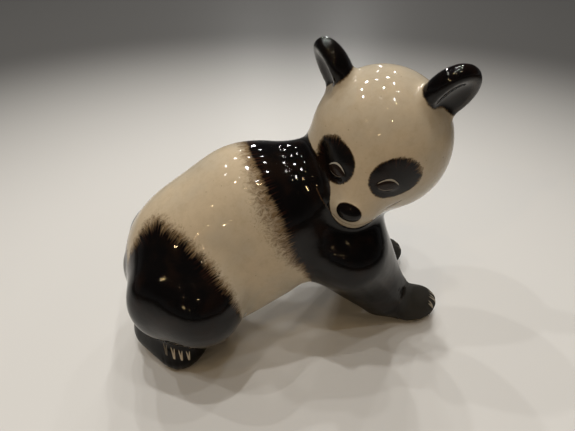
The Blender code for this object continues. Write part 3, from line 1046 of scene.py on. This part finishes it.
def glazed_porcelain():
    """Painted porcelain under a clear glaze that pools a little unevenly."""
    n = Nodes("glazed_porcelain_painted")
    place = n.attribute("place", "Vector")
    ivory = ivory_paint(n, place)
    solid, haze, streaks = fur_strokes(n, place)
    colour = n.mix(haze, ivory, HAZE_BROWN)
    black = n.mix(n.spots(place, *THIN_PLACES), BLACK, THIN_BLACK)
    black = n.mix(n.math("MULTIPLY", streaks, RUST_SHARE), black, RUST)
    # The forepaws are painted a lighter grey that stands in for the table's reflection in their glaze
    black = n.mix(paw_share(n, place), black, PAW_REFLECTION_GREY)
    colour = n.mix(solid, colour, black)
    colour = eye_colours(n, colour)
    colour = claw_colours(n, colour)
    colour = face_colours(n, colour)
    n.fill(n.shader.inputs["Base Color"], colour)
    n.fill(n.shader.inputs["Roughness"], n.spots(place, *DULLNESS))
    n.fill(n.shader.inputs["Coat Weight"], glaze_weight(n, place))
    for name, value in GLAZE.items():
        n.shader.inputs[name].default_value = value
    bumps = n.bump(glaze_height(n, place, solid), BUMP_STRENGTH, BUMP_DISTANCE)
    n.fill(n.shader.inputs["Coat Normal"], bumps)
    return n.material


def build_panda():
    mesh = panda_mesh()
    mesh.materials.append(glazed_porcelain())
    panda = bpy.data.objects.new("panda_glaze", mesh)
    bpy.context.collection.objects.link(panda)
    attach(panda, "root")
    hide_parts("panda")


# Camera: where it stands, how far down and to the right of +Y it looks, and its view
CAMERA_AT, CAMERA_DOWN, CAMERA_RIGHT = (-29.22, -122.35, 135.0), 36.0, 14.0
LENS, SENSOR, CLIP_START = 28.8, 36.0, 0.005

# Lamps in rows: the height of a row and the turns of its first and last lamp from +Y towards +X, in
# degrees, how many lamps it has, the power of each in watts, its size in metres and its colour
WHITE_LAMP, WARM_LAMP = (1.0, 0.985, 0.95), (1.0, 0.72, 0.40)
LAMP_ROWS = (
    (20.0, -150.0, -138.0, 2, 0.32, 0.014, WARM_LAMP),
    (38.0, -170.0, -124.0, 2, 0.60, 0.014, WARM_LAMP),
    (62.0, -190.0, -128.0, 3, 0.42, 0.014, WARM_LAMP),
    (24.0, 10.0, 22.0, 2, 0.9, 0.024, WHITE_LAMP),
    (40.0, -2.0, 35.0, 3, 0.8, 0.024, WHITE_LAMP),
    (60.0, -16.0, 28.0, 3, 1.35, 0.028, WHITE_LAMP),
    (72.0, 50.0, 230.0, 4, 0.90, 0.024, WHITE_LAMP),
    (58.0, -80.0, -48.0, 2, 1.35, 0.026, WHITE_LAMP),
    (82.0, -15.0, -15.0, 1, 2.6, 0.034, WHITE_LAMP),
)
LAMP_DISTANCE, LAMP_SWAY, SWAY_STEP = 1.3, 3.0, 2.3

# Room: grey at the horizon, dark overhead
HORIZON, OVERHEAD = (0.12, 0.119, 0.117, 1.0), (0.022, 0.022, 0.024, 1.0)
HORIZON_HIGH, OVERHEAD_LOW = 0.0, 0.30

# Table, in metres: pale round the figure, then darkened farther off by painted light falloff
TABLE_SIZE = 6.0
TABLE_COLOURS = (0.67, 0.66, 0.64, 1.0), (0.705, 0.695, 0.675, 1.0)
TABLE_PAINTED_DARK, PAINTED_FALLOFF_FROM, PAINTED_FALLOFF_TO = (0.10, 0.098, 0.095, 1.0), 0.10, 0.42
TABLE_CLOUDS, TABLE_ROUGHNESS, TABLE_SPECULAR = (9.0, 3.0), 0.42, 0.15


def camera():
    """The camera, level from side to side, at the photograph's viewing angle."""
    turn, down = math.radians(CAMERA_RIGHT), math.radians(CAMERA_DOWN)
    level = Vector((math.sin(turn), math.cos(turn), 0.0))
    right = Vector((math.cos(turn), -math.sin(turn), 0.0))
    forward = level * math.cos(down) - Vector((0.0, 0.0, math.sin(down)))
    up = right.cross(forward)
    data = bpy.data.cameras.new("camera")
    data.lens, data.sensor_width = LENS, SENSOR
    data.clip_start = CLIP_START
    eye = bpy.data.objects.new("camera", data)
    bpy.context.collection.objects.link(eye)
    turned = Matrix((right, up, -forward)).transposed()
    eye.matrix_world = Matrix.Translation(Vector(CAMERA_AT) * MM) @ turned.to_4x4()
    bpy.context.scene.camera = eye


def lamps():
    """Rows of small lamps that all face the figure and show in its glaze as glints."""
    for row, (height, first, last, count, power, size, colour) in enumerate(LAMP_ROWS):
        for i in range(count):
            side = math.radians(first + (last - first) * i / max(count - 1, 1))
            rise = math.radians(height + LAMP_SWAY * math.sin(SWAY_STEP * i + row))
            level = math.cos(rise)
            towards = Vector((math.sin(side) * level, math.cos(side) * level, math.sin(rise)))
            data = bpy.data.lights.new(f"lamp_{row}_{i}", "AREA")
            data.shape, data.size = "SQUARE", size
            data.energy, data.color = power, colour
            lamp = bpy.data.objects.new(f"lamp_{row}_{i}", data)
            lamp.location = towards * LAMP_DISTANCE
            lamp.rotation_euler = towards.to_track_quat("Z", "Y").to_euler()
            bpy.context.collection.objects.link(lamp)


def room():
    """Dim grey surroundings, darker overhead, for the glaze to mirror."""
    world = bpy.data.worlds.new("room")
    world.use_nodes = True
    tree = world.node_tree
    place = tree.nodes.new("ShaderNodeTexCoord").outputs["Generated"]
    split = tree.nodes.new("ShaderNodeSeparateXYZ")
    tree.links.new(place, split.inputs[0])
    ramp = tree.nodes.new("ShaderNodeMapRange")
    ramp.interpolation_type = "SMOOTHSTEP"
    tree.links.new(split.outputs["Z"], ramp.inputs[0])
    ramp.inputs[1].default_value, ramp.inputs[2].default_value = HORIZON_HIGH, OVERHEAD_LOW
    mix = tree.nodes.new("ShaderNodeMix")
    mix.data_type = "RGBA"
    tree.links.new(ramp.outputs[0], mix.inputs["Factor"])
    mix.inputs[6].default_value, mix.inputs[7].default_value = HORIZON, OVERHEAD
    tree.links.new(mix.outputs[2], tree.nodes["Background"].inputs["Color"])
    bpy.context.scene.world = world
    bpy.context.scene.view_settings.view_transform = "Standard"


def table():
    form = bmesh.new()
    bmesh.ops.create_grid(form, x_segments=1, y_segments=1, size=TABLE_SIZE / 2.0)
    mesh = bpy.data.meshes.new("table")
    form.to_mesh(mesh)
    form.free()
    n = Nodes("table_top")
    coordinates = n.tree.nodes.new("ShaderNodeTexCoord").outputs["Object"]
    clouds = n.noise(coordinates, *TABLE_CLOUDS)
    # Painted light falloff: the table's colour darkens with distance from the figure, as if the lamps'
    # light died away
    away = n.ramp(n.length(coordinates), PAINTED_FALLOFF_FROM, PAINTED_FALLOFF_TO)
    colour = n.mix(away, n.mix(clouds, *TABLE_COLOURS), TABLE_PAINTED_DARK)
    n.fill(n.shader.inputs["Base Color"], colour)
    n.shader.inputs["Roughness"].default_value = TABLE_ROUGHNESS
    n.shader.inputs["Specular IOR Level"].default_value = TABLE_SPECULAR
    mesh.materials.append(n.material)
    floor = bpy.data.objects.new("table", mesh)
    bpy.context.collection.objects.link(floor)


camera()
build_panda()
lamps()
room()
table()
